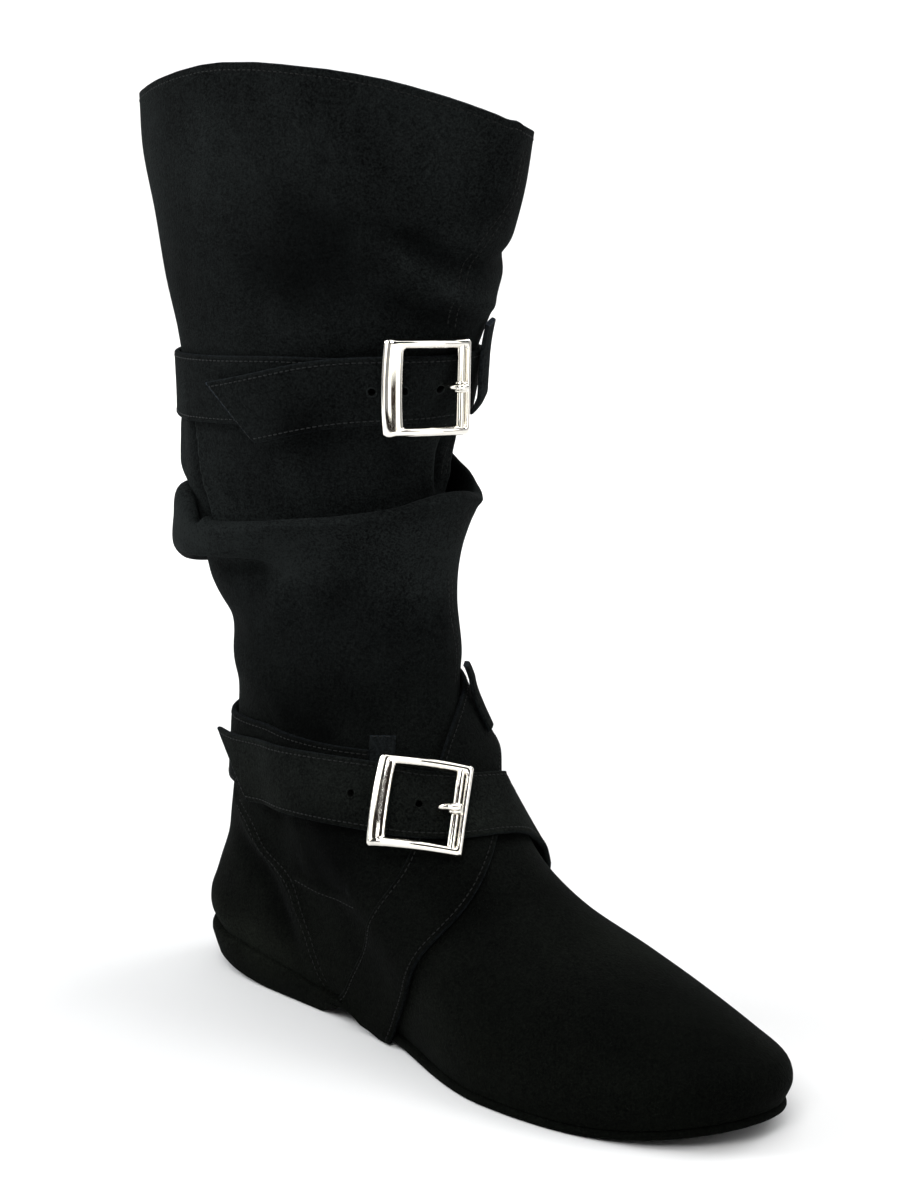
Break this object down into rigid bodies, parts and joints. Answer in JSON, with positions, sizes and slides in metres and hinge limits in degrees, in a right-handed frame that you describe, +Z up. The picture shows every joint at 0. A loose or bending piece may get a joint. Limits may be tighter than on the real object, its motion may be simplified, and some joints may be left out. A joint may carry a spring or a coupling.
{
  "type": "dance boot",
  "caption": "Black suede slouch dance boot for the right foot, mid-calf and flat, with a gathered shaft, crossed ankle straps and square metal buckles.",
  "frame": {"origin": "on the floor, under the middle of the heel seat", "axes": "+X to the toe, -Y to the outer side of the right foot, +Z up"},
  "size_m": [0.286, 0.099, 0.328],
  "materials": {
    "suede": "napped suede, matt",
    "sole_leather": "dyed split leather, matt",
    "lining": "smooth lining leather, matt",
    "nickel": "polished nickel plate"
  },
  "bodies": {
    "root": {"outsole": "sole_leather", "heel": "sole_leather", "insole": "lining", "upper": "suede", "cross_strap": "suede", "outer_tab": "suede", "ankle_strap": "suede", "front_loop": "suede", "ankle_buckle": "nickel", "ankle_prong": "nickel", "upper_strap": "suede", "upper_loop": "suede", "upper_buckle": "nickel", "upper_prong": "nickel"}
  },
  "joints": []
}
